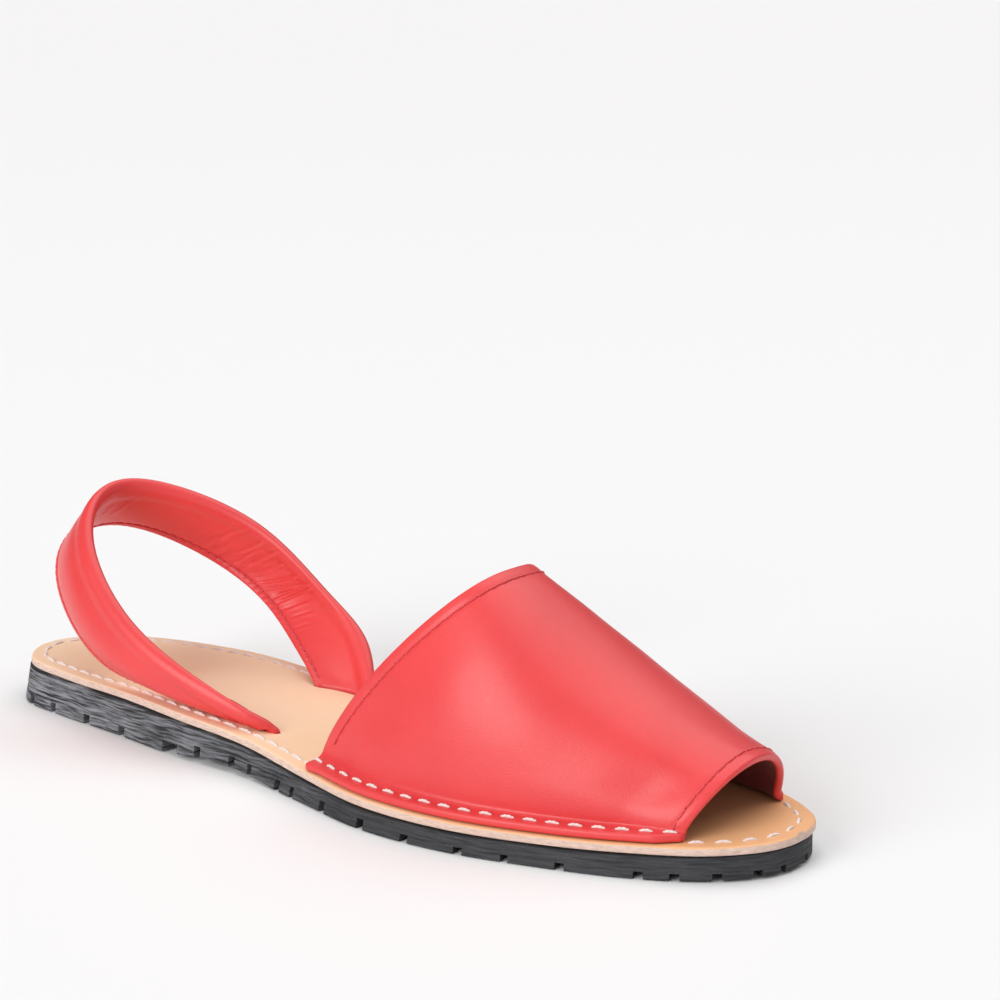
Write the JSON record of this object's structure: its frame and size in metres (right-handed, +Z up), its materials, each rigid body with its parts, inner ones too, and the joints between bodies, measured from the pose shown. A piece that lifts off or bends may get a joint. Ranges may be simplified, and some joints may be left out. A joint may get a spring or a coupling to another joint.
{
  "type": "slip-on strap sandal",
  "caption": "Flat slip-on sandal for the right foot with an arched leather vamp open at the toe, a folded leather heel strap, a leather insole and a treaded rubber outsole.",
  "frame": {"origin": "on the ground under the sole, midway along the insole's length and on the line from heel to toe", "axes": "+X from the heel to the toe, +Y towards the inner side of the foot, +Z up"},
  "size_m": [0.2508, 0.0812, 0.0622],
  "materials": {
    "sole_rubber": "matt black moulded rubber",
    "insole_leather": "smooth tan leather with a raw cut edge",
    "upper_leather": "satin red full-grain leather"
  },
  "bodies": {
    "root": {"outsole": "sole_rubber", "insole": "insole_leather", "vamp": "upper_leather", "heel_strap": "upper_leather"}
  },
  "joints": []
}
